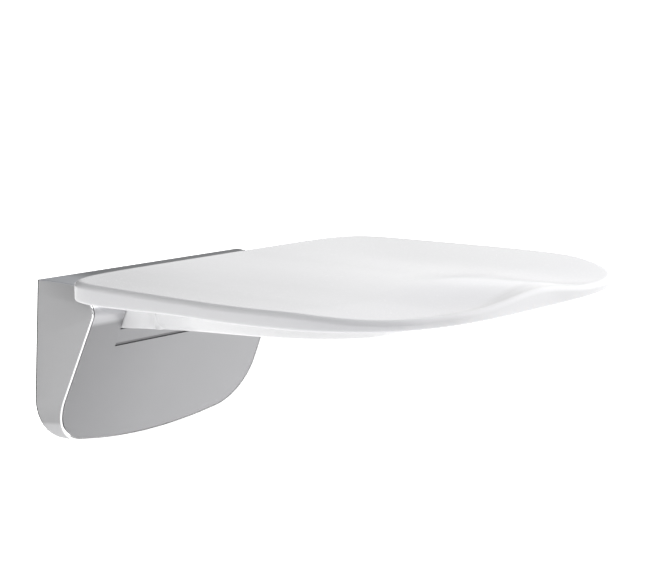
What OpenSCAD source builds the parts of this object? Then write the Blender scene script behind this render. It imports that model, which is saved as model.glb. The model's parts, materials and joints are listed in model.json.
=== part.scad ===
// Wall-mounted fold-up shower seat, in millimetres.
// The wall is the plane y = 0 and the seat points along -Y. The origin is the centre of the
// four wall screws. The seat body turns about the hinge axis, which runs along X.

/* [Seat] */
// Half-width of the seat at its widest station
seat_half_w = 212.7; // [190:0.1:230]
// Distance from the wall to the front edge of the seat
seat_reach = 455; // [440:1:480]
// Gap in plan between the wall and the rear edge of the seat
seat_rear = 97; // [96:0.5:98]
// Height of the seat rim above the top of the bracket
rim_rise = 16.5; // [15:0.5:18]
// Height of the visible rim band at the front half
rim_band = 14.1; // [13:0.1:15]
// Extra height of the rim band at the rear
rear_band = 3.4; // [0:0.1:4]
// Thickness of the seat mouldings
skin = 3.2; // [2.8:0.1:3.6]
// Rise of the ridge in the middle of the front edge
ridge_rise = 13; // [8:0.5:15]
// Extra depth of the two thigh hollows
hollow_depth = 6; // [3:0.5:7]

/* [Bracket] */
// Height of the top of the bracket above the centre of the wall screws
bracket_top = 82; // [81:0.5:84]
// Height of the bracket at the wall
bracket_h = 166; // [162:1:170]
// Half-width of the bracket at its top rear edge
bracket_half_w = 138; // [136:0.5:140]
// Wall thickness of the bracket housing and cover
sheet = 2.4; // [2:0.1:2.6]

/* [Hinge] */
// Distance of the hinge axis from the wall
hinge_out = 52; // [52:0.1:53]
// Distance of the hinge axis below the top of the bracket
hinge_drop = 27.5; // [27:0.5:28]
// Radius of the hood that wraps the hinge
hood_r = 19.2; // [19:0.1:19.4]
// Half-width of the hood
hood_half_w = 86.5; // [86:0.5:86.5]
// Diameter of the hinge shaft
shaft_d = 10; // [9.5:0.5:10]

/* [Wall screws] */
// Distance between the wall screws, side to side
screw_dx = 140; // [120:5:150]
// Distance between the wall screws, up and down
screw_dz = 80; // [70:5:90]
// Diameter of the clearance hole for a wall screw
screw_hole_d = 8.5; // [6.5:0.5:9]

/* [Hidden] */
$fn = 48;
steps = 72; // points round the seat outline
eps = 0.01;
run_gap = 0.03; // radial clearance of the shaft in its bushes
fit_gap = 0.02; // radial clearance of parts that don't turn on each other

// hinge axis
hinge_y = -hinge_out;
hinge_z = bracket_top - hinge_drop;
shaft_r = shaft_d / 2;

// seat outline: a superellipse whose rear half is squarer than its front half
rear_power = 7.1;
front_power = 3.45;
widen = 0.066; // growth of the half-width per mm towards the front
rear_len = 102; // length of the rear half
station_y = -seat_rear - rear_len; // where the two halves meet
front_len = seat_reach + station_y;
seat_mid_y = 12 - (seat_rear + seat_reach) / 2;

// rim and sitting surface
rim_z = bracket_top + rim_rise;
edge_r = 5; // rounding of the rim edge
edge_in = 0.024; // how far that rounding reaches in, as a part of the outline
foot_r = 2.5; // rounding of the lower edge of the rim
front_dip = 5.3; // drop of the front corners of the rim
crown_fall = 3; // depth of the middle of the seat below its rim
ridge_half_w = 60;
ridge_edge_rise = 8.2; // rise of the rim edge over the ridge
hollow_x = 110; // distance of each thigh hollow from the middle
hollow_w = 60;
seam_s = 0.966; // place of the seam between the mouldings, as a part of the outline
seam_gap = 0.05;

// underbody: its flat bottom starts a little wider than the hood and flares towards the front
belly_rear = 104;
belly_front = 428;
belly_half_w = 163;
belly_drop = 46.75; // depth of the bottom below the bracket top, at the hinge axis
belly_rise = 0.074; // rise of the bottom per mm towards the front
belly_bow = 0.178; // rise of the bottom per mm of flare
belly_rear_power = 30;
belly_front_power = 4;
flare_len = 226;
flare_power = 2.2;
front_lift = 7; // extra rise of the front edge of the bottom
neck_flare = 5.5; // how much wider the bottom starts than the hood
shelf_fall = 4; // fall of the shelf from the rim to the side wall
wall_splay = 1.03; // how far the side wall leans outwards
neck_front = belly_rear - 6; // distance from the wall to the front end of the hood's neck

// places of the screws that join the two mouldings, and of those that hold the frame
shell_places = [[-100, -150], [100, -150], [-138, -300], [138, -300], [-40, -395], [40, -395]];
frame_places = [[-70, -160], [70, -160], [-70, -262], [70, -262]];
boss_r = 5.5;
pilot_r = 2; // radius of the screw holes in the bosses
thread_r = 1.98; // radius of the screws in those holes
pad_top = bracket_top + 4; // top of the frame's screw pads
pad_t = 2.5;

// stations across the hinge, measured from the middle
hub_in = 64;
hub_out = 81;
hub_r = 14.5;
arm_t = 12;
pin_x = 78; // place of the cross pins
pin_len = 26;
ear_in = 91;
ear_out = 101;
washer_t = 1.5;
cam_in = ear_out + washer_t;
cam_t = 8;
cam_r = 8.5;
cam_angle = 32; // direction of the stop cam, above the line that points to the wall
cam_reach = 24;
cam_w = 11;
spring_t = 1.5;
spring_r = 8.3;
nut_t = 8;
end_r = 4; // radius of the threaded ends of the shaft
end_len = 12.5;
bush_r = shaft_r + 1.5;
flange_t = 1.5;
flange_r = bush_r + 1.8;
eye_r = 8.6;
key_w = 3;
key_depth = 2;

// front face of the bracket: distance from the wall at the top, and its lean
face_out = 76.3;
face_lean = 0.443;
lip_half_w = 129.1;
lip_widen = 0.049;
lip_t = 3.4; // width of the polished lip
cover_gap = 0.8; // shadow gap between the lip and the cover
cover_recess = 1.3; // depth of the cover behind the lip, measured along Y
cover_face_y = cover_recess - face_out; // where the cover's leaning face meets the bracket top
cover_t = 2.64; // thickness of the cover's leaning face, measured along Y
nose_r = 11.6;
roll_r = nose_r - cover_recess * cos(atan(face_lean)); // radius of the cover's roll over the nose
eye_clear = 0.4; // clearance of that roll round the ears
bevel_t = roll_r - eye_r - eye_clear;
slot_drop = 62.9; // depth of the slot below the bracket top
slot_h = 2;
trim_lip = 20; // depth of the ledge under the trim
trim_t = 2.6;
window_gap = 1;
window_rear = -(hinge_out - hood_r - window_gap); // rear edge of the notch for the hood
gasket_t = 1.5;
plate_t = 6;
plate_h = 138; // height of the wall plate
top_front = 46; // depth of the flat top of the housing
top_fall = 2.4; // fall of that top towards the front
top_half_w = 133;

// bracket outline
rear_flare = 0.0565;
rear_corner_r = 45;
lip_corner_r = 47.3;
bow_r = 531; // radius of the bowed bottom edge
lip_rise = 0.3; // rise of the lip above the bottom of the bracket

// wall plate details
lug_front = hinge_out - 11; // distance from the wall to the front of the stop lugs
lug_drop = 9.2;
lug_t = 4.4;
pad_len = 14; // length of the stop pads
pad_h = 10.8;
tab_w = 28; // size of the housing's screw tabs
tab_h = 14;
tab_in = 113; // distance of those tabs from the middle

function clamp01(t) = max(0, min(1, t));
function ease(t) = let (u = clamp01(t)) u * u * (3 - 2 * u);
function bell(x, w) = exp(-(x / w) * (x / w));

// A superellipse point at polar angle a, for half-lengths w and l and power p
function super_r(a, w, l, p) = pow(pow(abs(cos(a)) / w, p) + pow(abs(sin(a)) / l, p), -1 / p);

// The seat outline at angle a, shrunk about the middle of the seat by s
function rim_point(a, s) =
    let (rear = sin(a) > 0,
        r = super_r(a, seat_half_w, rear ? rear_len : front_len, rear ? rear_power : front_power),
        y = r * sin(a),
        x = r * cos(a) * (1 - widen * y / seat_half_w))
    [x * s, seat_mid_y + (station_y + y - seat_mid_y) * s];

// Half-width of the bottom of the underbody at y
function belly_half(y) =
    let (t = clamp01((-y - belly_rear) / flare_len))
    belly_half_w - (belly_half_w - hood_half_w - neck_flare) * pow(1 - t, flare_power);

// The outline of the bottom of the underbody at angle a, shrunk by s
function belly_point(a, s) =
    let (mid = -(belly_rear + belly_front) / 2,
        half = (belly_front - belly_rear) / 2,
        r = super_r(a, belly_half_w, half, sin(a) > 0 ? belly_rear_power : belly_front_power),
        y = r * sin(a),
        x = r * cos(a) * belly_half(mid + y) / belly_half_w)
    [x * s, mid + y * s];

// Height of the rim edge, level at the rear and dipping at the front corners
function rim_edge_z(x, y) =
    rim_z + ease((-y - 350) / 90) * (ridge_edge_rise * bell(x, ridge_half_w) - front_dip);

// Height of the lower edge of the rim band, which is deeper at the rear
function rim_low_z(y) = rim_z - rim_band - rear_band * ease((y + 260) / 120);

// Height of the sitting surface at a point that is at fraction s of the way to the rim
function top_z(x, y, s) =
    rim_z - front_dip * ease((-y - 350) / 90)
    - crown_fall * (1 - pow(s, 4))
    + (ridge_rise - 4.8 * ease((s - 0.93) / 0.05)) * bell(x, ridge_half_w) * ease((-y - 300) / 140)
    - hollow_depth * bell(abs(x) - hollow_x, hollow_w) * (1 - pow(s, 3)) * ease((-y - 110) / 150);

// Height of the bottom of the underbody, which rises towards the front
function belly_z(y) =
    bracket_top - belly_drop + belly_rise * (-y - hinge_out) + belly_bow * (belly_half(y) - hood_half_w)
    + front_lift * ease((-y - 385) / 50);

function to_3d(p, z) = [p[0], p[1], z];
function top_ring(s, drop) =
    [for (i = [0:steps - 1]) let (p = rim_point(i * 360 / steps, s)) to_3d(p, top_z(p[0], p[1], s) - drop)];
function edge_ring(s, drop) =
    [for (i = [0:steps - 1]) let (a = i * 360 / steps, p = rim_point(a, s), e = rim_point(a, 1))
        to_3d(p, rim_edge_z(e[0], e[1]) - drop)];
function low_ring(s, lift) =
    [for (i = [0:steps - 1]) let (a = i * 360 / steps, e = rim_point(a, 1))
        to_3d(rim_point(a, s), rim_low_z(e[1]) + lift)];
function belly_ring(s, lift) =
    [for (i = [0:steps - 1]) let (p = belly_point(i * 360 / steps, s)) to_3d(p, belly_z(p[1]) + lift)];
// A ring from the seam under the rim (t = 0), along a shelf and down the side wall (t = 1)
function flank_ring(t, inset, lift) =
    [for (i = [0:steps - 1]) let (a = i * 360 / steps,
        at_seam = pow(1 - t, 4), at_wall = pow(t, 4), at_bend = 1 - at_seam - at_wall,
        p = rim_point(a, seam_s - inset), w = belly_point(a, wall_splay - inset),
        q = belly_point(a, 1 - inset), m = p * at_seam + w * at_bend + q * at_wall,
        low = rim_low_z(rim_point(a, 1)[1]) - seam_gap,
        z = (low - 0.5) * at_seam + (low - shelf_fall) * at_bend + belly_z(q[1]) * at_wall)
        to_3d(m, min(low, z + lift))];

// A closed solid through a stack of rings, from its upper centre to its lower centre
module ring_solid(rings, upper, lower) {
    n = len(rings[0]);
    count = len(rings);
    points = concat([for (r = rings) each r], [upper, lower]);
    walls = [for (k = [0:count - 2], i = [0:n - 1])
        let (a = k * n + i, b = k * n + (i + 1) % n)
        each [[a, b, b + n], [a, b + n, a + n]]];
    caps = [for (i = [0:n - 1])
        let (j = (i + 1) % n, last = (count - 1) * n)
        each [[count * n, j, i], [count * n + 1, last + i, last + j]]];
    polyhedron(points = points, faces = concat(walls, caps));
}

module both_sides() {
    children();
    mirror([1, 0, 0]) children();
}

// A bar of the given profile in the Y-Z plane, from x0 to x1
module bar_x(x0, x1) {
    translate([x0, 0, 0]) rotate([90, 0, 90]) linear_extrude(x1 - x0) children();
}

// A round bar on the hinge axis, from x0 to x1
module rod(r, x0, x1) {
    translate([x0, hinge_y, hinge_z]) rotate([0, 90, 0]) cylinder(r = r, h = x1 - x0);
}

// A plate of the given outline in the X-Z plane, from y0 out to y0 - t
module slab_y(y0, t) {
    translate([0, y0, 0]) rotate([90, 0, 0]) linear_extrude(t) children();
}

// Bracket outline in the X-Z plane: flared sides, round lower corners and a bowed bottom edge.
// grow is its offset from the nominal outline, top its upper edge.
function bracket_outline(half_w, flare, corner_r, bow_r, low, top, stretch = 1) =
    let (slant = sqrt(1 + flare * flare),
        m = half_w - corner_r * slant,
        c = low + bow_r,
        g = m * flare + c,
        reach = bow_r - corner_r,
        cz = (g - sqrt(g * g - slant * slant * (m * m + c * c - reach * reach))) / (slant * slant),
        cx = m - flare * cz,
        a0 = atan(flare),
        a1 = atan2(cz - c, cx),
        right = concat(
            [[half_w - flare * top, top]],
            [for (i = [0:10]) let (a = a0 + (a1 - a0) * i / 10)
                [cx + corner_r * cos(a), cz + corner_r * sin(a)]],
            [for (i = [1:5]) let (a = a1 + (-90 - a1) * i / 6)
                [bow_r * cos(a), c + bow_r * sin(a)]]),
        n = len(right),
        left = [for (i = [n - 1:-1:0]) [-right[i][0], right[i][1]]])
    [for (p = concat(right, [[0, low]], left)) [p[0], p[1] * stretch]];

module lift_to_top() { translate([0, 0, bracket_top]) children(); }
module lift_2d() { translate([0, bracket_top]) children(); }

function rear_outline(inset, top) =
    bracket_outline(bracket_half_w - inset, rear_flare, rear_corner_r - inset, bow_r,
        -bracket_h + inset, top);
function lip_outline(inset, top, stretch = 1) =
    bracket_outline(lip_half_w - inset, lip_widen, lip_corner_r - inset, bow_r,
        -bracket_h + inset + lip_rise, top, stretch);

// Solid form of the bracket with its walls pulled in by inset and its front pushed out by push
module bracket_form(inset, push) {
    lean = atan(face_lean);
    nose_half = lip_half_w + lip_widen * hinge_drop - inset;
    lift_to_top() hull() {
        slab_y(-gasket_t + (inset > 0 ? gasket_t + 1 : 0), 1) polygon(rear_outline(inset, -inset));
        translate([0, -face_out, 0]) rotate([90 + lean, 0, 0]) translate([0, 0, push - 1])
            linear_extrude(1) polygon(lip_outline(inset, -hinge_drop - nose_r / 2, 1 / cos(lean)));
        translate([-nose_half, hinge_y, -hinge_drop]) rotate([0, 90, 0])
            cylinder(r = nose_r + push, h = 2 * nose_half, $fn = 32);
        translate([-top_half_w + inset, -top_front, -top_fall - inset - 1])
            cube([2 * (top_half_w - inset), 1, 1]);
    }
}

// Outline of the front cover in the Y-Z plane: leaning face, nose roll and upper bevel
module cover_profile() {
    lean = atan(face_lean);
    tangent_z = -hinge_drop - roll_r * sin(lean);
    low = -bracket_h - 2;
    corner = [hinge_out - top_front, hinge_drop - top_fall]; // front of the flat top, from the hinge axis
    turn = atan2(corner[1], corner[0]) + acos(nose_r / norm(corner));
    bevel_len = sqrt(pow(norm(corner), 2) - nose_r * nose_r) - 3;
    lift_2d() difference() {
        union() {
            polygon([
                [cover_face_y - face_lean * tangent_z, tangent_z],
                [cover_face_y - face_lean * low, low],
                [cover_face_y - face_lean * low + cover_t, low],
                [cover_face_y - face_lean * tangent_z + cover_t, tangent_z]]);
            intersection() {
                translate([hinge_y, -hinge_drop]) circle(r = roll_r);
                translate([-face_out, tangent_z]) square([face_out - hinge_out - 1, 2 * roll_r]);
            }
            translate([hinge_y, -hinge_drop]) rotate(turn) translate([roll_r - bevel_t, -bevel_len])
                square([bevel_t, bevel_len]);
        }
        translate([hinge_y, -hinge_drop]) circle(r = eye_r + eye_clear);
    }
}

module hinge_window(half_w, rear_y) {
    translate([-half_w, -100, bracket_top - slot_drop - slot_h])
        cube([2 * half_w, 100 + rear_y, slot_drop + slot_h + 10]);
}

module screw_holes(r) {
    for (x = [-1, 1], z = [-1, 1]) translate([x * screw_dx / 2, 1, z * screw_dz / 2])
        rotate([90, 0, 0]) cylinder(r = r, h = plate_t + 2);
}

// Places of the screws that hold the housing to the wall plate
function housing_screw_places() = [for (x = [-120, 120], d = [62, 118]) [x, bracket_top - d]];
module at_housing_screws() {
    for (p = housing_screw_places()) translate([p[0], 0, p[1]]) children();
}

// ---- fixed bracket ----

module ear_profile() {
    root_y = -plate_t + 1;
    difference() {
        union() {
            translate([hinge_y, hinge_z]) circle(r = eye_r);
            polygon([[root_y, hinge_z + 12], [hinge_y, hinge_z + eye_r],
                [hinge_y, hinge_z - eye_r], [root_y, hinge_z - 34]]);
        }
        translate([hinge_y, hinge_z]) circle(r = bush_r + fit_gap);
    }
}

module wall_plate() {
    color("silver") difference() {
        union() {
            intersection() {
                lift_to_top() slab_y(0, plate_t) polygon(rear_outline(8, -7));
                translate([-150, -20, bracket_top - plate_h]) cube([300, 40, plate_h]);
            }
            both_sides() bar_x(ear_in, ear_out) ear_profile();
            both_sides() bar_x(ear_out - 1, cam_in + cam_t) translate([-lug_front, bracket_top - lug_drop])
                square([lug_front - plate_t + 1, lug_t]);
        }
        screw_holes(screw_hole_d / 2);
        at_housing_screws() translate([0, 1, 0]) rotate([90, 0, 0]) cylinder(r = pilot_r, h = plate_t + 2);
        both_sides() rod(bush_r + fit_gap, ear_in - 1, ear_out + 1);
        both_sides() rod(eye_r, ear_out + eps, cam_in + cam_t + 1);
    }
}

module wall_gasket() {
    color("dimgray") lift_to_top() slab_y(0, gasket_t) difference() {
        polygon(rear_outline(0.3, -0.3));
        polygon(rear_outline(sheet, -sheet));
    }
}

module bracket_housing() {
    inner = lip_half_w - lip_t;
    color("lightslategray") difference() {
        union() {
            difference() {
                bracket_form(0, 0);
                bracket_form(sheet, 3);
                translate([-inner, -100, bracket_top - 70]) cube([2 * inner, 100 - top_front, 80]);
                hinge_window(hood_half_w + window_gap, window_rear);
            }
            for (p = housing_screw_places())
                translate([p[0] > 0 ? tab_in : -tab_in - tab_w, -plate_t - sheet, p[1] - tab_h / 2])
                    cube([tab_w, sheet, tab_h]);
        }
        at_housing_screws() rotate([90, 0, 0]) cylinder(r = 2.2, h = 20);
    }
}

module front_cover() {
    color("lightgray") difference() {
        intersection() {
            bar_x(-lip_half_w - 10, lip_half_w + 10) cover_profile();
            lift_to_top() slab_y(10, 100) polygon(lip_outline(lip_t + cover_gap, 5));
        }
        hinge_window(hood_half_w + window_gap, 0);
    }
}

module hinge_trim() {
    low = -slot_drop;
    high = -hinge_drop - hood_r - window_gap;
    low_y = cover_face_y - face_lean * low;
    high_y = cover_face_y - face_lean * high;
    half = hood_half_w + window_gap / 2;
    color("gainsboro") bar_x(-half, half) lift_2d() polygon([
        [high_y, high], [low_y, low], [low_y + trim_lip, low], [low_y + trim_lip, low + sheet],
        [low_y + trim_t, low + sheet], [high_y + trim_t, high]]);
}

module shaft_bushes() {
    color("ivory") both_sides() difference() {
        union() {
            rod(bush_r, ear_in, ear_out);
            rod(flange_r, ear_in - flange_t, ear_in);
        }
        rod(shaft_r + run_gap, ear_in - 5, ear_out + 5);
    }
}

module stop_pads() {
    color("black") both_sides() bar_x(cam_in + 1, cam_in + cam_t - 1) difference() {
        translate([-lug_front + 0.5, bracket_top - lug_drop - pad_h]) square([pad_len, pad_h]);
        translate([hinge_y, hinge_z]) rotate(cam_angle) translate([0, -60])
            square([60, 60 + cam_w / 2 + 0.05]);
    }
}

// A socket-head screw that points up: thread of length len and radius thread_r, head below z = 0
module socket_screw(len, head_r, head_h, socket_r, socket_depth) {
    cylinder(r = thread_r, h = len);
    translate([0, 0, -head_h]) difference() {
        cylinder(r = head_r, h = head_h);
        translate([0, 0, -1]) cylinder(r = socket_r, h = socket_depth + 1, $fn = 6);
    }
}

module housing_screws() {
    reach = plate_t + sheet;
    color("silver") at_housing_screws() translate([0, -reach, 0]) rotate([-90, 0, 0])
        socket_screw(reach, 3.5, 2.6, 1.4, 1.6);
}

// One spring clip at a depth below the bracket top, reaching from the plate to the cover
module cover_clip(x0, drop) {
    y_tip = cover_face_y + cover_t + face_lean * (drop + 1) + fit_gap;
    bar_x(x0, x0 + 12) lift_2d() translate([0, -drop - 1]) union() {
        translate([-plate_t - 1, 0]) square([1, 14]);
        translate([y_tip, 0]) square([-plate_t - y_tip, 1]);
    }
}

module cover_clips() {
    color("silver") both_sides() {
        cover_clip(70, 78);
        cover_clip(88, 124);
    }
}

// ---- folding seat ----

module seat_boss(p, z0) {
    top = top_z(p[0], p[1], 0.5) - 1.5;
    translate([p[0], p[1], z0]) cylinder(r = boss_r, h = top - z0);
}

module seat_top() {
    roll = [for (a = [0:18:90]) edge_ring(1 - edge_in * (1 - sin(a)), edge_r * (1 - cos(a)))];
    rings = concat(
        [for (s = [0.12, 0.26, 0.4, 0.53, 0.65, 0.75, 0.83, 0.89, 0.935, 0.96]) top_ring(s, 0)],
        roll,
        [low_ring(1, foot_r), low_ring(0.994, 0.5), low_ring(0.986, 0), low_ring(seam_s, 0),
            edge_ring(seam_s - 0.004, skin + 4)],
        [for (s = [0.93, 0.86, 0.75, 0.6, 0.4, 0.2]) top_ring(s, skin)]);
    z_mid = top_z(0, seat_mid_y, 0);
    color("white") difference() {
        union() {
            ring_solid(rings, [0, seat_mid_y, z_mid], [0, seat_mid_y, z_mid - skin]);
            for (p = shell_places) seat_boss(p, belly_z(p[1] - boss_r) + skin + 0.6);
            for (p = frame_places) seat_boss(p, pad_top);
        }
        for (p = shell_places) translate([p[0], p[1], 0]) cylinder(r = pilot_r, h = belly_z(p[1]) + 13.5);
        for (p = frame_places) translate([p[0], p[1], 0]) cylinder(r = pilot_r, h = pad_top + 3.5);
    }
}

module seat_underside() {
    inner = concat(
        [for (s = [0.25, 0.5, 0.75, 0.92]) belly_ring(s, skin)],
        [for (t = [0.96, 0.8, 0.6, 0.4, 0.2, 0.06]) flank_ring(t, 0.03, 2)]);
    outer = concat(
        [for (t = [0, 0.2, 0.4, 0.6, 0.8, 0.96]) flank_ring(t, 0, 0.5 * (1 - ease(t / 0.2)))],
        [for (s = [0.97, 0.75, 0.5, 0.25]) belly_ring(s, 0)]);
    mid = -(belly_rear + belly_front) / 2;
    neck_half = hood_half_w - 3;
    color("whitesmoke") difference() {
        ring_solid(concat(inner, outer), [0, mid, belly_z(mid) + skin], [0, mid, belly_z(mid)]);
        translate([-neck_half, -belly_rear - 12, bracket_top - 38]) cube([2 * neck_half, 30, 60]);
        for (p = shell_places) translate([p[0], p[1], belly_z(p[1]) - 3]) {
            cylinder(r = 2.2, h = 20);
            cylinder(r = 4.2, h = 4.6);
        }
    }
}

// Hood section: a barrel about the hinge axis and a neck that reaches the underbody
module hood_profile(inset, front_y = -neck_front) {
    r = hood_r - inset;
    polygon(concat(
        [for (a = [-90:7.5:90]) [hinge_y + r * cos(a), hinge_z + r * sin(a)]],
        [[front_y, hinge_z + r], [front_y, belly_z(front_y) + inset]]));
}

module hinge_hood() {
    color("white") bar_x(-hood_half_w + skin, hood_half_w - skin) difference() {
        hood_profile(0);
        hood_profile(skin, -neck_front - 1);
    }
}

module hood_caps() {
    color("white") both_sides() difference() {
        bar_x(hood_half_w - skin, hood_half_w) hood_profile(0);
        rod(shaft_r + 0.5, hood_half_w - 10, hood_half_w + 10);
    }
}

// Side of a frame arm: from the hub along the neck and the underbody
module arm_profile() {
    translate([hinge_y, hinge_z]) circle(r = hub_r);
    lift_2d() polygon([
        [hinge_y, -13], [-100, -13], [-122, 2], [-290, 2],
        [-290, -8], [-112, -33], [-80, -38.5], [hinge_y, -hinge_drop - hub_r]]);
}

module seat_frame() {
    bar_r = 5;
    color("slategray") difference() {
        union() {
            both_sides() bar_x(hub_in, hub_in + arm_t) arm_profile();
            both_sides() rod(hub_r, hub_in, hub_out);
            for (y = [-140, -282]) translate([-hub_in - 1, y, bracket_top - 4])
                rotate([0, 90, 0]) cylinder(r = bar_r, h = 2 * hub_in + 2);
            for (p = frame_places) translate([p[0] - 12, p[1] - 10, pad_top - pad_t]) cube([24, 20, pad_t]);
        }
        rod(shaft_r + fit_gap, -100, 100);
        for (p = frame_places) translate([p[0], p[1], bracket_top - 60]) {
            cylinder(r = 2.1, h = 80);
            cylinder(r = 4.2, h = 57);
        }
        pin_holes();
    }
}

// Holes for the cross pins that fix the hubs to the shaft
module pin_holes() {
    both_sides() translate([pin_x, hinge_y, hinge_z - 30]) cylinder(r = pilot_r, h = 60);
}

module hinge_shaft() {
    reach = cam_in + cam_t;
    color("silver") difference() {
        union() {
            rod(shaft_r, -reach, reach);
            rod(end_r, -reach - end_len, reach + end_len);
        }
        pin_holes();
        both_sides() key_slot();
    }
}

// Room for one key, half in the shaft and half in the cam
module key_slot() {
    translate([cam_in + 1, hinge_y, hinge_z]) rotate([cam_angle + 90, 0, 0])
        translate([0, -key_w / 2, shaft_r - key_depth]) cube([cam_t - 2, key_w, 2 * key_depth - 0.4]);
}

module spacer_tube() {
    color("silver") difference() {
        rod(8.5, -hub_in, hub_in);
        rod(shaft_r + fit_gap, -hub_in - 1, hub_in + 1);
    }
}

module hub_pins() {
    color("silver") both_sides() translate([pin_x, hinge_y, hinge_z - pin_len / 2])
        cylinder(r = pilot_r - 0.01, h = pin_len);
}

module washer(x0, t, outer, inner) {
    difference() {
        rod(outer, x0, x0 + t);
        rod(inner, x0 - 1, x0 + t + 1);
    }
}

module thrust_washers() {
    t = ear_in - flange_t - hood_half_w - 0.1;
    color("white") both_sides() washer(hood_half_w, t, flange_r, shaft_r + fit_gap);
}

module friction_washers() {
    color("peru") both_sides()
        washer(ear_out + fit_gap, washer_t - fit_gap, flange_r, shaft_r + fit_gap);
}

module stop_cams() {
    color("gray") both_sides() difference() {
        bar_x(cam_in, cam_in + cam_t) translate([hinge_y, hinge_z]) {
            circle(r = cam_r);
            rotate(cam_angle) translate([0, -cam_w / 2]) square([cam_reach, cam_w]);
        }
        rod(shaft_r + fit_gap, cam_in - 1, cam_in + cam_t + 1);
        key_slot();
    }
}

module cam_keys() {
    color("silver") both_sides() intersection() {
        key_slot();
        rod(cam_r - 0.1, cam_in, cam_in + cam_t);
    }
}

// A disc spring as a shallow cone ring that opens towards the nut
module disc_spring(x0, flip) {
    bore = end_r + 0.1;
    translate([x0, hinge_y, hinge_z]) rotate([0, 90, 0]) translate([0, 0, flip ? spring_t : 0])
        mirror([0, 0, flip ? 1 : 0]) rotate_extrude()
        polygon([[bore, 0], [spring_r, 0.5], [spring_r, spring_t], [bore, spring_t - 0.5]]);
}

module disc_springs() {
    color("goldenrod") both_sides() {
        disc_spring(cam_in + cam_t, false);
        disc_spring(cam_in + cam_t + spring_t, true);
    }
}

module lock_nuts() {
    x0 = cam_in + cam_t + 2 * spring_t;
    color("silver") both_sides() translate([x0, hinge_y, hinge_z]) rotate([0, 90, 0]) difference() {
        cylinder(r = spring_r, h = nut_t, $fn = 6);
        translate([0, 0, -1]) cylinder(r = end_r + fit_gap, h = nut_t + 2);
    }
}

module frame_screws() {
    color("silver") for (p = frame_places) translate([p[0], p[1], bracket_top - 3])
        socket_screw(10, 3.8, 2.6, 1.4, 1.6);
}

module shell_screws() {
    color("silver") for (p = shell_places) translate([p[0], p[1], belly_z(p[1]) + 1.6])
        socket_screw(11, 3.8, 2, 1.2, 1.2);
}

wall_plate();
wall_gasket();
bracket_housing();
front_cover();
hinge_trim();
shaft_bushes();
stop_pads();
housing_screws();
cover_clips();
seat_top();
seat_underside();
hinge_hood();
hood_caps();
seat_frame();
hinge_shaft();
spacer_tube();
hub_pins();
thrust_washers();
friction_washers();
stop_cams();
cam_keys();
disc_springs();
lock_nuts();
frame_screws();
shell_screws();
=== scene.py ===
"""Wall-mounted fold-up shower seat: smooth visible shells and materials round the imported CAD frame."""
import json
import math

import bmesh
import bpy
import numpy as np
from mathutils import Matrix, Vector


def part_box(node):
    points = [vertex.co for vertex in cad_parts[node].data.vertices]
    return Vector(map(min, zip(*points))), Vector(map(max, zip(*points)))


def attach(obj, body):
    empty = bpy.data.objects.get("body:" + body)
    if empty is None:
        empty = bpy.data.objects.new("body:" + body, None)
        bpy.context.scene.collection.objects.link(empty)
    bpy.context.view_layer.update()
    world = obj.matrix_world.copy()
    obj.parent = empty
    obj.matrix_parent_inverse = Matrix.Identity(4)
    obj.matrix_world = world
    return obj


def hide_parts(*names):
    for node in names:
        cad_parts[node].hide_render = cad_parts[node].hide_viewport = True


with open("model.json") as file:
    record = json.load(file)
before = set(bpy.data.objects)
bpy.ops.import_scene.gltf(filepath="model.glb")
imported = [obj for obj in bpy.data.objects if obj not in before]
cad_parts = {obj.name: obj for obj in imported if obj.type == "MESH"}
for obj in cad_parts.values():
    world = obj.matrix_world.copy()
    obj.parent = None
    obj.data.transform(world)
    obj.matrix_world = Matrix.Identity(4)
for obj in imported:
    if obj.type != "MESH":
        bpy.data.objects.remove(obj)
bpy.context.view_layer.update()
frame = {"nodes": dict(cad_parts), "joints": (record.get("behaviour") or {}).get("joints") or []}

MM = 0.001

# Driving places, all read from the frame, in millimetres
HINGE = Vector(frame["joints"][0]["pos_m"]) / MM
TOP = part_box("bracket_housing")[1].z / MM  # top of the bracket
SEAT_LOW, SEAT_HIGH = (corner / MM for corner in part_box("seat_top"))
REACH = -SEAT_LOW.y  # wall to the front edge of the seat
REAR = -SEAT_HIGH.y  # wall to the rear edge of the seat
HOOD_LOW, HOOD_HIGH = (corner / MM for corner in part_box("hood_caps"))
HOOD_HALF = HOOD_HIGH.x
HOOD_R = HINGE.z - HOOD_LOW.z


def smooth_step(t):
    t = np.clip(t, 0.0, 1.0)
    return t * t * (3 - 2 * t)


def bell(x, width):
    return np.exp(-(x / width) ** 2)


def curve_point(start, corner, end, k):
    """A point on the curve from start to end whose two ends point at the corner."""
    return start * (1 - k) ** 2 + corner * 2 * k * (1 - k) + end * k * k


# ---- seat surface ----

STATION_W = 212.7  # half-width where the two halves of the outline meet
STATION_Y = -REAR - 102
REAR_EDGE = REAR - 2.5  # wall to the visible rear edge
WIDEN = 0.066  # how much the outline widens towards the front
REAR_POWER = 7.1  # superellipse powers of the rear and the front half of the outline
FRONT_POWER = 3.45
MID_Y = -(REAR + REACH) / 2 + 12  # the rings of the seat shrink towards this place
RIM_Z = TOP + 16.5
RIM_BAND = 14.1  # height of the rim band
REAR_BAND = 3.4  # its extra height at the rear
REAR_BAND_START, REAR_BAND_LENGTH = 260, 120  # it grows from this far from the wall, towards the wall
EDGE_R = 5.0  # rounding of the rim's upper edge
EDGE_IN = 0.024  # how far that rounding reaches in, as a part of the outline
FOOT_R = 2.5  # rounding of the rim's lower edge
FOOT_IN = 0.012
SEAM = 0.966  # place of the seam between the mouldings, as a part of the outline
SKIN = 3.2  # wall thickness of the mouldings
DISH = 3  # depth of the sitting surface below the rim
FRONT_DIP = 5.3  # fall of the front edge
DIP_START, DIP_LENGTH = 350, 90  # like each pair below: where it starts, and in what length it is complete
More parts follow.
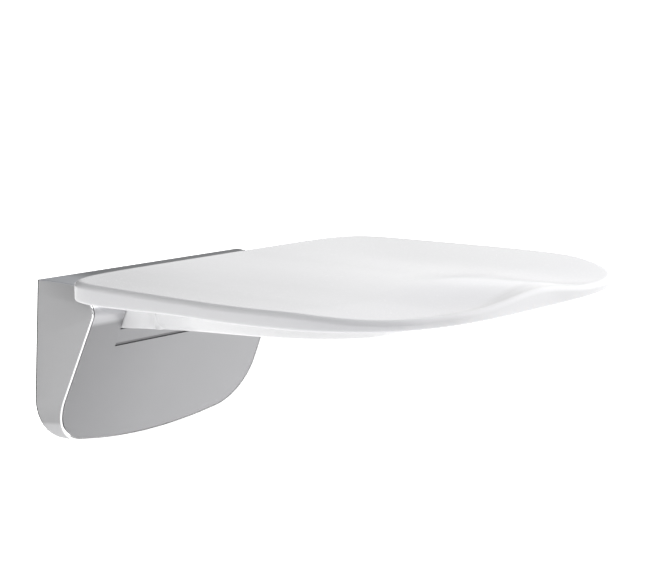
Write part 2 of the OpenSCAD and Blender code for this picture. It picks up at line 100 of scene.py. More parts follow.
RIDGE_HALF = 60.0  # half-width of the ridge in the middle of the front
RIDGE_RISE = 11.5
RIDGE_DROP = 3.3  # how much lower the ridge is next to the rim
RIDGE_START, RIDGE_LENGTH = 300, 140
EDGE_RISE = 8.2  # rise of the rim's edge over the ridge
HOLLOW = 3.0  # extra depth of the thigh hollows
HOLLOW_X, HOLLOW_HALF = 110, 60
HOLLOW_START, HOLLOW_LENGTH = 110, 150
AROUND = 288  # points in each ring of the seat


def superellipse_r(angle, width, length, power):
    c = np.abs(np.cos(angle)) / width
    s = np.abs(np.sin(angle)) / length
    return (c ** power + s ** power) ** (-1 / power)


def rim_xy(angle, s):
    """Seat outline at the given angles, shrunk about the middle of the seat by s."""
    rear = np.sin(angle) > 0
    r_rear = superellipse_r(angle, STATION_W, -REAR_EDGE - STATION_Y, REAR_POWER)
    r_front = superellipse_r(angle, STATION_W, REACH + STATION_Y, FRONT_POWER)
    r = np.where(rear, r_rear, r_front)
    y = r * np.sin(angle)
    x = r * np.cos(angle) * (1 - WIDEN * y / STATION_W)
    return x * s, MID_Y + (STATION_Y + y - MID_Y) * s


def forward(y, start, length):
    """0 nearer to the wall than start, rising smoothly to 1 over the given length in front of it."""
    return smooth_step((-y - start) / length)


def rim_edge_z(x, y):
    return RIM_Z + forward(y, DIP_START, DIP_LENGTH) * (EDGE_RISE * bell(x, RIDGE_HALF) - FRONT_DIP)


def rim_low_z(y):
    """Height of the lower edge of the rim band, which is deeper at the rear."""
    return RIM_Z - RIM_BAND - REAR_BAND * smooth_step((y + REAR_BAND_START) / REAR_BAND_LENGTH)


def sitting_z(x, y, s):
    """Height of the sitting surface, for points at fraction s of the way to the rim."""
    ridge = RIDGE_RISE - RIDGE_DROP * smooth_step((s - 0.93) / 0.05)
    z = RIM_Z - FRONT_DIP * forward(y, DIP_START, DIP_LENGTH)
    z = z - DISH * (1 - s ** 4)
    z = z + ridge * bell(x, RIDGE_HALF) * forward(y, RIDGE_START, RIDGE_LENGTH)
    hollow = HOLLOW * bell(np.abs(x) - HOLLOW_X, HOLLOW_HALF)
    return z - hollow * (1 - s ** 3) * forward(y, HOLLOW_START, HOLLOW_LENGTH)


BELLY_REAR = 104  # wall to the rear and to the front of the underbody's bottom
BELLY_FRONT = 428
BELLY_MID = -(BELLY_REAR + BELLY_FRONT) / 2
BELLY_HALF = 163.0
NECK_HALF = HOOD_HALF + 5.5  # half-width of the underbody where the hinge block meets it
FLARE_LENGTH = 226  # length in which the underbody widens from one to the other
FLARE_POWER = 2.2
REAR_CORNER = 30  # superellipse powers of the bottom's rear and front corners
FRONT_CORNER = 4
BELLY_DROP = 46.75  # bottom of the underbody under the hinge, below the bracket's top
BELLY_SLOPE = 0.074  # rise of the bottom for each millimetre forward
BELLY_SPREAD = 0.178  # its rise for each millimetre that the underbody widens on one side
CHIN_RISE = 7  # extra rise at the front
CHIN_START, CHIN_LENGTH = 385, 50
BULGE = 2.2  # how far the bottom bulges down
BULGE_Y, BULGE_HALF = 320.0, 90
SHELL_SCREWS = [(100, -150), (138, -300), (40, -395)]  # under the right half; mirrored on the left


def belly_half(y):
    """Half-width of the bottom of the underbody, which flares towards the front."""
    t = np.clip((-y - BELLY_REAR) / FLARE_LENGTH, 0.0, 1.0)
    return BELLY_HALF - (BELLY_HALF - NECK_HALF) * (1 - t) ** FLARE_POWER


def belly_xy(angle, s):
    half = (BELLY_FRONT - BELLY_REAR) / 2
    power = np.where(np.sin(angle) > 0, REAR_CORNER, FRONT_CORNER)
    r = superellipse_r(angle, BELLY_HALF, half, power)
    y = r * np.sin(angle)
    x = r * np.cos(angle) * belly_half(BELLY_MID + y) / BELLY_HALF
    return x * s, BELLY_MID + y * s


def belly_bulge(y):
    return BULGE * bell(y + BULGE_Y, BULGE_HALF)


def belly_z(y):
    z = TOP - BELLY_DROP + BELLY_SLOPE * (HINGE.y - y) + BELLY_SPREAD * (belly_half(y) - HOOD_HALF)
    return z + CHIN_RISE * forward(y, CHIN_START, CHIN_LENGTH) - belly_bulge(y)


ANGLES = np.linspace(0, 2 * np.pi, AROUND, endpoint=False)


def ring(x, y, z):
    return np.stack([x, y, np.broadcast_to(z, x.shape)], axis=1)


def sitting_ring(s, drop=0.0):
    x, y = rim_xy(ANGLES, s)
    return ring(x, y, sitting_z(x, y, s) - drop)


def edge_ring(s, drop):
    x, y = rim_xy(ANGLES, s)
    ex, ey = rim_xy(ANGLES, 1.0)
    return ring(x, y, rim_edge_z(ex, ey) - drop)


def low_ring(s, rise=0.0):
    """A ring at the height of the rim's lower edge."""
    x, y = rim_xy(ANGLES, s)
    return ring(x, y, rim_low_z(rim_xy(ANGLES, 1.0)[1]) + rise)


def belly_ring(s, lift=0.0):
    x, y = belly_xy(ANGLES, s)
    return ring(x, y, belly_z(y) + lift)


SHELF_FALL = 4.0  # fall of the underbody's shelf from the rim to its side wall
WALL_SPLAY = 1.03  # how far that wall leans outwards, as a part of the bottom's outline
TOUCH = 0.05  # play between pieces that meet


def flank_ring(t, inset=0.0, rise=0.0):
    """A ring from the seam under the rim (t = 0), along a shelf and down the side wall (t = 1)."""
    px, py = rim_xy(ANGLES, SEAM - inset)
    wx, wy = belly_xy(ANGLES, WALL_SPLAY - inset)
    qx, qy = belly_xy(ANGLES, 1 - inset)
    at_seam, at_wall = (1 - t) ** 4, t ** 4
    at_bend = 1 - at_seam - at_wall
    low = rim_low_z(rim_xy(ANGLES, 1.0)[1]) - TOUCH
    z = (low - 0.5) * at_seam + (low - SHELF_FALL) * at_bend + belly_z(qy) * at_wall + rise
    x = px * at_seam + wx * at_bend + qx * at_wall
    y = py * at_seam + wy * at_bend + qy * at_wall
    return ring(x, y, np.minimum(low, z))


# ---- mesh helpers ----

def new_object(name, verts, faces):
    """A smooth-shaded object from vertices in millimetres."""
    mesh = bpy.data.meshes.new(name)
    mesh.from_pydata([tuple(Vector(v) * MM) for v in verts], [], faces)
    mesh.validate()
    mesh.update()
    obj = bpy.data.objects.new(name, mesh)
    bpy.context.scene.collection.objects.link(obj)
    mesh.shade_smooth()
    mesh.set_sharp_from_angle(angle=math.radians(38))
    return obj


def ring_object(name, rings, upper, lower):
    """A closed solid through a stack of rings, from its upper centre to its lower centre."""
    count = len(rings)
    n = len(rings[0])
    verts = [tuple(p) for r in rings for p in r] + [upper, lower]
    faces = []
    for k in range(count - 1):
        for i in range(n):
            a = k * n + i
            b = k * n + (i + 1) % n
            faces.append((a, a + n, b + n, b))
    last = (count - 1) * n
    for i in range(n):
        j = (i + 1) % n
        faces.append((count * n, i, j))
        faces.append((count * n + 1, last + j, last + i))
    return new_object(name, verts, faces)


def outward_normals(obj):
    bm = bmesh.new()
    bm.from_mesh(obj.data)
    bmesh.ops.recalc_face_normals(bm, faces=bm.faces)
    bm.to_mesh(obj.data)
    bm.free()


def extrude_x(name, section, x0, x1):
    """A bar from x0 to x1 with the given (y, z) section."""
    n = len(section)
    verts = [(x0, y, z) for y, z in section] + [(x1, y, z) for y, z in section]
    faces = [tuple(range(n - 1, -1, -1)), tuple(range(n, 2 * n))]
    faces += [(i, (i + 1) % n, (i + 1) % n + n, i + n) for i in range(n)]
    obj = new_object(name, verts, faces)
    outward_normals(obj)
    return obj


def apply_modifiers(obj):
    depsgraph = bpy.context.evaluated_depsgraph_get()
    mesh = bpy.data.meshes.new_from_object(obj.evaluated_get(depsgraph))
    old = obj.data
    obj.modifiers.clear()
    obj.data = mesh
    bpy.data.meshes.remove(old)


def round_edges(obj, width, segments, angle=30):
    """Rounds the edges that are sharper than the angle."""
    bevel = obj.modifiers.new("bevel", "BEVEL")
    bevel.width = width * MM
    bevel.segments = segments
    bevel.limit_method = "ANGLE"
    bevel.angle_limit = math.radians(angle)
    bevel.harden_normals = True
    apply_modifiers(obj)


def thicken(obj, thickness, rim_material=0):
    """Gives a sheet its thickness, inwards."""
    solid = obj.modifiers.new("solid", "SOLIDIFY")
    solid.thickness = thickness * MM
    solid.offset = -1
    solid.material_offset_rim = rim_material
    apply_modifiers(obj)


# ---- materials ----

def node_material(name):
    mat = bpy.data.materials.new(name)
    mat.use_nodes = True
    nodes = mat.node_tree.nodes
    return mat, nodes, mat.node_tree.links, nodes["Principled BSDF"]


def add_noise(nodes, links, scale, detail=4.0):
    coords = nodes.new("ShaderNodeTexCoord")
    noise = nodes.new("ShaderNodeTexNoise")
    noise.inputs["Scale"].default_value = scale
    noise.inputs["Detail"].default_value = detail
    links.new(coords.outputs["Object"], noise.inputs["Vector"])
    return noise


def ramp(nodes, links, source, low, high):
    """A map range node that turns a 0..1 value into low..high."""
    node = nodes.new("ShaderNodeMapRange")
    node.inputs["To Min"].default_value = low
    node.inputs["To Max"].default_value = high
    links.new(source, node.inputs["Value"])
    return node.outputs["Result"]


def mix_colours(nodes, links, factor, first, second):
    mix = nodes.new("ShaderNodeMix")
    mix.data_type = "RGBA"
    mix.inputs["A"].default_value = (*first, 1)
    mix.inputs["B"].default_value = (*second, 1)
    links.new(factor, mix.inputs["Factor"])
    return mix.outputs["Result"]


def add_bump(nodes, links, bsdf, height, strength, distance):
    bump = nodes.new("ShaderNodeBump")
    bump.inputs["Strength"].default_value = strength
    bump.inputs["Distance"].default_value = distance
    links.new(height, bump.inputs["Height"])
    links.new(bump.outputs["Normal"], bsdf.inputs["Normal"])


CLOUD_SCALE = 9.0  # scale of the slow drift in every material's colour
FINE_DETAIL = 6.0  # octaves of the fine grain
RELIEF = 0.25  # strength of its relief
COAT_ROUGHNESS = 0.06


def surface_material(name, colours, metallic, roughness, grain, grain_depth, coat=0.0):
    """A material whose colour drifts slowly, and whose roughness and relief vary with a fine grain."""
    mat, nodes, links, bsdf = node_material(name)
    cloud = add_noise(nodes, links, CLOUD_SCALE)
    fine = add_noise(nodes, links, grain, FINE_DETAIL)
    links.new(mix_colours(nodes, links, cloud.outputs["Fac"], *colours), bsdf.inputs["Base Color"])
    links.new(ramp(nodes, links, fine.outputs["Fac"], *roughness), bsdf.inputs["Roughness"])
    bsdf.inputs["Metallic"].default_value = metallic
    bsdf.inputs["Coat Weight"].default_value = coat
    bsdf.inputs["Coat Roughness"].default_value = COAT_ROUGHNESS
    add_bump(nodes, links, bsdf, fine.outputs["Fac"], RELIEF, grain_depth)
    return mat


def stepped_colour(nodes, links, axis, stops):
    """A grey that follows one object coordinate: stops are (place in millimetres, grey)."""
    coords = nodes.new("ShaderNodeTexCoord")
    parts = nodes.new("ShaderNodeSeparateXYZ")
    links.new(coords.outputs["Object"], parts.inputs["Vector"])
    span = nodes.new("ShaderNodeMapRange")
    first, last = stops[0][0], stops[-1][0]
    span.inputs["From Min"].default_value = first * MM
    span.inputs["From Max"].default_value = last * MM
    links.new(parts.outputs[axis], span.inputs["Value"])
    bar = nodes.new("ShaderNodeValToRGB")
    while len(bar.color_ramp.elements) < len(stops):
        bar.color_ramp.elements.new(0.5)
    for element, (place, grey) in zip(bar.color_ramp.elements, stops):
        element.position = (place - first) / (last - first)
        element.color = (grey, grey, grey * 1.01, 1)
    links.new(span.outputs["Result"], bar.inputs["Fac"])
    return bar.outputs["Color"]


def multiply(nodes, links, first, second):
    """The product of two colours."""
    mix = nodes.new("ShaderNodeMix")
    mix.data_type = "RGBA"
    mix.blend_type = "MULTIPLY"
    mix.inputs["Factor"].default_value = 1.0
    links.new(first, mix.inputs["A"])
    links.new(second, mix.inputs["B"])
    return mix.outputs["Result"]


def paint_light_and_shade_along(mat, stops_by_axis):
    """Paints light and shade into a material's colour: greys that follow the object's own axes multiply
    it.
    """
    nodes, links = mat.node_tree.nodes, mat.node_tree.links
    target = nodes["Principled BSDF"].inputs["Base Color"]
    colour = target.links[0].from_socket
    for axis, stops in stops_by_axis:
        colour = multiply(nodes, links, colour, stepped_colour(nodes, links, axis, stops))
    links.new(colour, target)
    return mat


def paint_light_and_shade_between(mat, x_stops, y_stops):
    """Paints light and shade into a material's colour along X, by as much as the grey that follows Y is
    near to white.
    """
    nodes, links = mat.node_tree.nodes, mat.node_tree.links
    target = nodes["Principled BSDF"].inputs["Base Color"]
    colour = target.links[0].from_socket
    mix = nodes.new("ShaderNodeMix")
    mix.data_type = "RGBA"
    links.new(stepped_colour(nodes, links, "Y", y_stops), mix.inputs["Factor"])
    links.new(colour, mix.inputs["A"])
    links.new(multiply(nodes, links, colour, stepped_colour(nodes, links, "X", x_stops)), mix.inputs["B"])
    links.new(mix.outputs["Result"], target)
    return mat


def white(name, darkest, lightest):
    """A glossy white moulding, between two greys."""
    greys = ((darkest,) * 3, (lightest,) * 3)
    return surface_material(name, greys, 0.0, (0.22, 0.30), 900, 0.00002, coat=0.3)


def satin(name, colours=((0.90, 0.90, 0.905), (0.96, 0.96, 0.965)), roughness=(0.36, 0.44)):
    """Bright metal with a satin finish."""
    return surface_material(name, colours, 0.9, roughness, 1400, 0.00003)


# Painted light and shade, as (place in millimetres, grey). The seat's: from side to side and from front to
# rear (painted shade on the near left and on the front rim's face), then those of the ridge's two flanks
# (painted light on the near one, painted shade on the far one) and where along the seat they count, and
# those of the underbody (painted light towards the hinge)
SEAT_PAINTED_SHADING_ACROSS = ((-212, 0.80), (-200, 0.77), (-160, 0.725), (-120, 0.745), (-100, 0.78), (-60, 0.832),
               (-20, 0.848), (10, 0.832), (40, 0.785), (100, 0.79), (212, 0.80))
SEAT_PAINTED_SHADING_ALONG = ((-455, 0.90), (-448, 0.91), (-441, 1.0), (-100, 1.0))
RIDGE_PAINTED_SHADING_ACROSS = ((-90, 1.0), (-45, 1.14), (-10, 1.16), (30, 0.86), (70, 0.87), (110, 1.0))
RIDGE_PAINTED_SHADING_ALONG = ((-444, 0.0), (-437, 1.0), (-390, 1.0), (-300, 0.0))
UNDER_PAINTED_LIGHT_ALONG = ((-330, 0.77), (-190, 0.86), (-120, 0.99), (-60, 0.99))
# The bracket's: its cheeks (their grey, with a painted lighter band along the bottom), its cover (painted
# light towards the right, and a painted reflection on the nose roll) and its top plate (painted shade)
CHEEK_GREY_AND_PAINTED_LIGHT_UP = ((TOP - 137, 0.53), (TOP - 133.5, 0.39), (TOP - 108, 0.445), (TOP, 0.45))
COVER_PAINTED_LIGHT_ACROSS = ((-130, 0.70), (-10, 0.885), (110, 0.985))
COVER_GREY_AND_PAINTED_REFLECTION_UP = ((TOP - 40, 0.42), (TOP - 36, 0.72), (TOP - 30, 0.85), (TOP - 22, 1.0))
PLATE_PAINTED_SHADE_ACROSS = ((-110, 0.48), (-80, 0.19), (130, 0.15))

# The seat's white moulding, with painted shade on its near left and its front rim's face, and painted
# light and shade on the two flanks of the ridge
WHITE_WITH_PAINTED_SHADING = paint_light_and_shade_between(
    paint_light_and_shade_along(white("white_moulding_painted_shading", 0.95, 1.0), (("X", SEAT_PAINTED_SHADING_ACROSS), ("Y", SEAT_PAINTED_SHADING_ALONG))),
    RIDGE_PAINTED_SHADING_ACROSS, RIDGE_PAINTED_SHADING_ALONG)
# The underbody and hinge block in white, with painted light that grows towards the hinge; darker towards
# the front
WHITE_UNDER_PAINTED_LIGHT = paint_light_and_shade_along(white("white_under_painted_light", 0.96, 1.0), (("Y", UNDER_PAINTED_LIGHT_ALONG),))
# The cheeks' satin metal: its grey, with a painted lighter band along the bottom and a narrow darker strip
# just above it
SATIN_WITH_PAINTED_LIGHT = paint_light_and_shade_along(satin("satin_metal"), (("Z", CHEEK_GREY_AND_PAINTED_LIGHT_UP),))
# The cover's satin metal: painted light growing towards the right, and on the nose roll a painted
# reflection, lighter towards the top, over the grey of the leaning face
COVER_PAINTED_LIGHT = paint_light_and_shade_along(satin("satin_cover"), (("X", COVER_PAINTED_LIGHT_ACROSS), ("Z", COVER_GREY_AND_PAINTED_REFLECTION_UP)))
# The top plate's satin metal, darkened by painted shade, lighter only towards its left end
TOP_SATIN_PAINTED_SHADE = paint_light_and_shade_along(
    satin("satin_top_painted_shade", ((0.90, 0.93, 1.0), (0.96, 0.98, 1.0)), (0.40, 0.48)), (("X", PLATE_PAINTED_SHADE_ACROSS),))
POLISHED = surface_material(
    "polished_lip", ((0.86, 0.86, 0.87), (0.90, 0.90, 0.90)), 1.0, (0.08, 0.14), 700, 0.00001)
LIP_INSIDE = surface_material(
    "lip_inside", ((0.84, 0.84, 0.84), (0.88, 0.88, 0.88)), 0.2, (0.3, 0.4), 700, 0.00001)
# Painted shade: a dark satin for the slot's floor, where the slot is in shadow
SLOT_SHADE = surface_material(
    "slot_floor_painted_shade", ((0.19, 0.19, 0.195), (0.22, 0.22, 0.225)), 0.9, (0.4, 0.5), 1400, 0.00002)
# Painted shade: near-black for the cut edges of the cover, so that the gap round it reads as a dark line
GAP_PAINTED_SHADE = surface_material(
    "gap_shade", ((0.05, 0.05, 0.055), (0.08, 0.08, 0.085)), 0.0, (0.6, 0.7), 700, 0.00002)
STEEL = surface_material(
    "plain_steel", ((0.50, 0.50, 0.51), (0.62, 0.62, 0.63)), 1.0, (0.25, 0.40), 800, 0.00003)
CASTING = surface_material(
    "cast_plate", ((0.42, 0.43, 0.44), (0.50, 0.51, 0.52)), 0.9, (0.45, 0.6), 500, 0.00008)
POWDER = surface_material(
    "frame_powder_coat", ((0.10, 0.11, 0.12), (0.15, 0.15, 0.16)), 0.0, (0.5, 0.65), 1100, 0.00008)
RUBBER = surface_material(
    "dark_rubber", ((0.02, 0.02, 0.02), (0.04, 0.04, 0.04)), 0.0, (0.7, 0.85), 900, 0.00008)
BEARING = surface_material(
    "bearing_plastic", ((0.70, 0.68, 0.60), (0.78, 0.76, 0.68)), 0.0, (0.4, 0.55), 600, 0.00004)
LINING = surface_material(
    "friction_lining", ((0.20, 0.12, 0.06), (0.34, 0.22, 0.12)), 0.0, (0.7, 0.9), 500, 0.0001)


def set_material(obj, *materials):
    """Gives an object these materials, in the order of its material slots."""
    obj.data.materials.clear()
    for mat in materials:
        obj.data.materials.append(mat)


# ---- seat pieces ----

def seat_upper():
    """The upper moulding: sitting surface, rolled rim and the shell's own underside."""
    rings = [sitting_ring(s) for s in np.linspace(0.02, 0.955, 48)]
    for a in np.linspace(0, math.pi / 2, 12):
        rings.append(edge_ring(1 - EDGE_IN * (1 - math.sin(a)), EDGE_R * (1 - math.cos(a))))
    rings.append(low_ring(1, FOOT_R + 1.0))
    for a in np.linspace(0, math.pi / 2, 6):
        rings.append(low_ring(1 - FOOT_IN * (1 - math.cos(a)), FOOT_R * (1 - math.sin(a))))
    rings.append(low_ring(SEAM))
    rings.append(edge_ring(SEAM - 0.004, SKIN + 4))
    rings += [sitting_ring(s, SKIN) for s in np.linspace(0.93, 0.03, 24)]
    z_mid = sitting_z(0.0, MID_Y, 0.0)
    obj = ring_object("seat_moulding", rings, (0, MID_Y, z_mid), (0, MID_Y, z_mid - SKIN))
    set_material(obj, WHITE_WITH_PAINTED_SHADING)
    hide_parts("seat_top")
    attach(obj, "seat")


SCREW_RECESS_R = 4.2
SCREW_RECESS_ROOF = 0.8  # height of their roofs over the bottom as it would be without the bulge
RECESS_SIDES = 24


def cut_screw_recesses(obj):
    """Round blind recesses in the underbody, in which the heads of the shell screws are seen."""
    bm = bmesh.new()
    for x, y in [(side * x, y) for x, y in SHELL_SCREWS for side in (-1, 1)]:
        around = [(x + SCREW_RECESS_R * math.cos(a), y + SCREW_RECESS_R * math.sin(a))
                  for a in np.linspace(0, 2 * math.pi, RECESS_SIDES + 1)[:-1]]
        bottom = float(belly_z(y))
        ends = [[bm.verts.new(Vector((px, py, z)) * MM) for px, py in around]
                for z in (bottom - 8, bottom + belly_bulge(y) + SCREW_RECESS_ROOF)]
        bm.faces.new(ends[0][::-1])
        bm.faces.new(ends[1])
        for i in range(RECESS_SIDES):
            j = (i + 1) % RECESS_SIDES
            bm.faces.new((ends[0][i], ends[0][j], ends[1][j], ends[1][i]))
    mesh = bpy.data.meshes.new("recess_cutter")
    bm.to_mesh(mesh)
    bm.free()
    cutter = bpy.data.objects.new("recess_cutter", mesh)
    bpy.context.scene.collection.objects.link(cutter)
    cut = obj.modifiers.new("cut", "BOOLEAN")
    cut.object = cutter
    cut.solver = "EXACT"
    apply_modifiers(obj)
    bpy.data.objects.remove(cutter)


def seat_lower():
    """The lower moulding: a tray with sloping flanks and a nearly flat bottom that rises to the front."""
    rings = [belly_ring(s, SKIN) for s in np.linspace(0.05, 0.92, 14)]
    rings += [flank_ring(t, 0.03, 2.0) for t in np.linspace(0.94, 0.06, 14)]
    rings += [flank_ring(t, 0, 0.5 * max(0.0, 1 - t / 0.2)) for t in np.linspace(0, 0.94, 28)]
    near, corner, flat = flank_ring(0.94), belly_ring(1.0), belly_ring(0.97)
    rings += [curve_point(near, corner, flat, k) for k in np.linspace(0, 1, 6)[1:]]
    rings += [belly_ring(s) for s in np.linspace(0.93, 0.05, 16)]
    z_mid = belly_z(BELLY_MID)
    obj = ring_object("seat_underbody", rings, (0, BELLY_MID, z_mid + SKIN), (0, BELLY_MID, z_mid))
    cut_screw_recesses(obj)
    set_material(obj, WHITE_UNDER_PAINTED_LIGHT)
    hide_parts("seat_underside")
    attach(obj, "seat")


NECK_END = -BELLY_REAR - 32.0  # inside the underbody, past its rounded rear corners
DIVE_DEPTH = 0.7  # how far the end of the neck sinks into the underbody
DIVE_IN = 0.5  # and how far its sides do
NECK_TOP_FALL = 1.5  # fall of the neck's top in front of the hinge
SIDE_CORNER = 0.8  # size of the block's lower corners at the hinge


def neck_dive(y):
    """0 to 1 where the end of the neck sinks into the underbody."""
    return forward(y, BELLY_REAR + 12, 18)


def neck_heights(y):
    """Lower and upper height of the hinge block where its neck runs forward from the hinge."""
    low = HINGE.z - HOOD_R
    if y > -BELLY_REAR:
        t = (HINGE.y - y) / (HINGE.y + BELLY_REAR)
        low += (float(belly_z(-BELLY_REAR)) - TOUCH - low) * t
    else:
        low = float(belly_z(y)) - TOUCH + DIVE_DEPTH * float(neck_dive(y))
    return low, HINGE.z + HOOD_R - NECK_TOP_FALL * float(forward(y, -HINGE.y, 8))


def neck_widening(y):
    """0 to 1 where the neck widens, in front of what enters the window when the seat is folded up."""
    widen_from = HINGE.y - (TOP - HINGE.z) - 2.5
    return float(np.clip((widen_from - y) / (widen_from + BELLY_REAR), 0, 1)) ** 2


def neck_half(y, climb):
    """Half-width of the hinge block at a part, climb, of the way up its side."""
    widen = neck_widening(y)
    half = HOOD_HALF + widen * (float(belly_half(y)) - HOOD_HALF)
    return half * (1 + (WALL_SPLAY - 1) * climb * widen) + 0.08 * widen - DIVE_IN * float(neck_dive(y))


def neck_side(y, low, high):
    """The right side of the block at y, from the rounded lower corner up: (x, z) points."""
    widen = neck_widening(y)
    height = SIDE_CORNER + (0.22 * (high - low) - SIDE_CORNER) * widen
    inset = SIDE_CORNER + 2.2 * widen
    start = height / (high - low)
    flat = np.array([neck_half(y, 0) - inset, low])
    corner = np.array([neck_half(y, 0), low])
    near = np.array([neck_half(y, start), low + height])
    points = [curve_point(flat, corner, near, k) for k in np.linspace(0, 1, 7)]
    return points + [(neck_half(y, t), low + (high - low) * t) for t in np.linspace(start, 1, 5)[1:]]


def hinge_block():
    """The white block round the hinge: a barrel whose neck widens to meet the underbody."""
    stations = []
    for a in np.linspace(0.3, math.pi / 2, 16):
        reach = HOOD_R * math.sin(a)
        stations.append((HINGE.y + HOOD_R * math.cos(a), HINGE.z - reach, HINGE.z + reach))
    stations += [(y, *neck_heights(y)) for y in np.linspace(HINGE.y, NECK_END, 44)[1:]]
    rings = []
    for y, low, high in stations:
        side = [(x, y, z) for x, z in neck_side(y, low, high)]
        rings.append(np.array(side + [(-x, y, z) for x, y, z in side[::-1]]))
    (y0, low0, high0), (y1, low1, high1) = stations[0], stations[-1]
    obj = ring_object("hinge_block", rings, (0, y0, (low0 + high0) / 2), (0, y1, (low1 + high1) / 2))
    outward_normals(obj)
    round_edges(obj, 1.0, 4)
    set_material(obj, WHITE_UNDER_PAINTED_LIGHT)
    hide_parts("hinge_hood", "hood_caps")
    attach(obj, "seat")


# ---- bracket pieces ----

LOW = -166.0  # bottom of the bracket, below its top
LIP_LOW = LOW - 1.9  # bottom of the lip, which hangs a little lower at the front
FOOT_Y = -2.8  # where the leaning face meets that bottom
NOSE_R = 11.6
NOSE_H = HINGE.z - TOP  # height of the nose's centre, below the top
LIP_HALF = 129.1  # half-width of the front edge at the top
LIP_FLARE = 0.049  # widening of that edge for each millimetre down
LIP_CORNER_R = 47.3
LIP_W = 2.0
LIP_OUT_R, LIP_IN_R = 0.8, 0.4  # roundings of the lip
LIP_DEPTH = 5.0  # depth of the lip's inner side
GAP = 1.2  # between the lip and the cover
RECESS = 0.5  # depth of the cover behind the lip
BOW_R = 531.0  # radius of the bowed bottom
TOP_FRONT = 46.0  # wall to the front of the flat top
TOP_FALL = 2.4
WALL_HALF = 138.0  # half-width of the rear edge at the top
WALL_FLARE = 0.0565
WALL_CORNER_R = 45
WALL_Y = -1.5  # the rear edge stops just short of the wall
WALL_TOP = -0.6  # and just below the top
WINDOW_HALF = HOOD_HALF + 1  # opening for the hood
WINDOW_REAR = HINGE.y + HOOD_R + 1
SLOT_H = -64.3  # lower edge of the slot, below the top
SLOT_W = 3.2
TRIM_DEPTH = 3.6
TRIM_PLAY = 0.03

# The face leans so that it is tangent to the nose
LEAN = math.atan2(FOOT_Y - HINGE.y, NOSE_H - LIP_LOW) + math.asin(
    NOSE_R / math.hypot(FOOT_Y - HINGE.y, NOSE_H - LIP_LOW))
# The bevel above the nose is tangent to it too, and ends at the front of the flat top
CORNER = (-TOP_FRONT - HINGE.y, -TOP_FALL - NOSE_H)
BEVEL_ANGLE = math.atan2(CORNER[1], CORNER[0]) + math.acos(NOSE_R / math.hypot(*CORNER))


def face_y(h, recess=0.0):
    """Place of the leaning face at a height h from the top."""
    return FOOT_Y - math.tan(LEAN) * (h - LIP_LOW) + recess / math.cos(LEAN)


def lip_half(h):
    return LIP_HALF - LIP_FLARE * h


def bracket_side(half, flare, corner_r, low):
    """Half of the bracket outline in X and height from the top, from the bottom middle to where the
    straight side starts: the arc of the bow, and the arc of the corner."""
    # The corner's centre (cx, cz) is corner_r inside the straight side, and on the circle round the
    # bow's centre (0, c) that lets the two arcs meet smoothly
    slant = math.hypot(1, flare)
    m = half - corner_r * slant
    c = low + BOW_R
    g = m * flare + c
    reach = BOW_R - corner_r
    cz = (g - math.sqrt(g * g - slant ** 2 * (m * m + c * c - reach ** 2))) / slant ** 2
    cx = m - flare * cz
    side = math.atan(flare)
    meet = math.atan2(cz - c, cx)
    points = [(BOW_R * math.cos(a), c + BOW_R * math.sin(a)) for a in np.linspace(-math.pi / 2, meet, 32)]
    points += [(cx + corner_r * math.cos(a), cz + corner_r * math.sin(a))
               for a in np.linspace(meet, side, 25)[1:]]
    return points


def nose_profile(recess=0.0):
    """From where the leaning face meets the nose, over it, to the front of the flat top: (y, h)."""
    r = NOSE_R - recess
    points = [(HINGE.y + r * math.cos(a), NOSE_H + r * math.sin(a))
              for a in np.linspace(math.pi + LEAN, BEVEL_ANGLE, 22)]
    end_y = -TOP_FRONT - recess * math.cos(BEVEL_ANGLE)
    end_h = -TOP_FALL - recess * math.sin(BEVEL_ANGLE)
    y0, h0 = points[-1]
    points += [(y0 + (end_y - y0) * t, h0 + (end_h - h0) * t) for t in np.linspace(0, 1, 7)[1:]]
    return points


def lip_path(inset, recess=0.0):
    """The front edge of the bracket's right half, from the bottom middle up, over the nose and to
    the front of the flat top: (x, y, h) points, pulled in by inset and back by recess."""
    outline = bracket_side(LIP_HALF - inset, LIP_FLARE, LIP_CORNER_R - inset, LIP_LOW + inset)
    points = [(x, face_y(h, recess), h) for x, h in outline]
    nose = nose_profile(recess)
    for h in np.linspace(outline[-1][1], nose[0][1], 30)[1:-1]:
        points.append((lip_half(h) - inset, face_y(h, recess), h))
    points += [(lip_half(h) - inset, y, h) for y, h in nose]
    return np.array(points)


def wall_path(count):
    """The rear edge along the wall, matched point by point with lip_path."""
    points = bracket_side(WALL_HALF, WALL_FLARE, WALL_CORNER_R, LOW)
    rest = count - len(points)
    points += [(WALL_HALF - WALL_FLARE * h, h) for h in np.linspace(points[-1][1], WALL_TOP, rest + 1)[1:]]
    return np.array([(x, WALL_Y, h) for x, h in points])


def mirror_join(points):
    """A path for the right half, extended by its mirror image, from the right end to the left."""
    left = points[1:].copy()
    left[:, 0] *= -1
    return np.concatenate([points[::-1], left])


def strip_faces(rows, cols):
    """The faces of a sheet through rows of points."""
    return [(r * cols + c, (r + 1) * cols + c, (r + 1) * cols + c + 1, r * cols + c + 1)
            for r in range(rows - 1) for c in range(cols - 1)]


def from_top(points):
    """Points whose heights are from the bracket's top, brought into the frame."""
    out = np.array(points, dtype=float)
    out[:, 2] += TOP
    return out


def unit_rows(vectors):
    return vectors / np.linalg.norm(vectors, axis=1)[:, None]


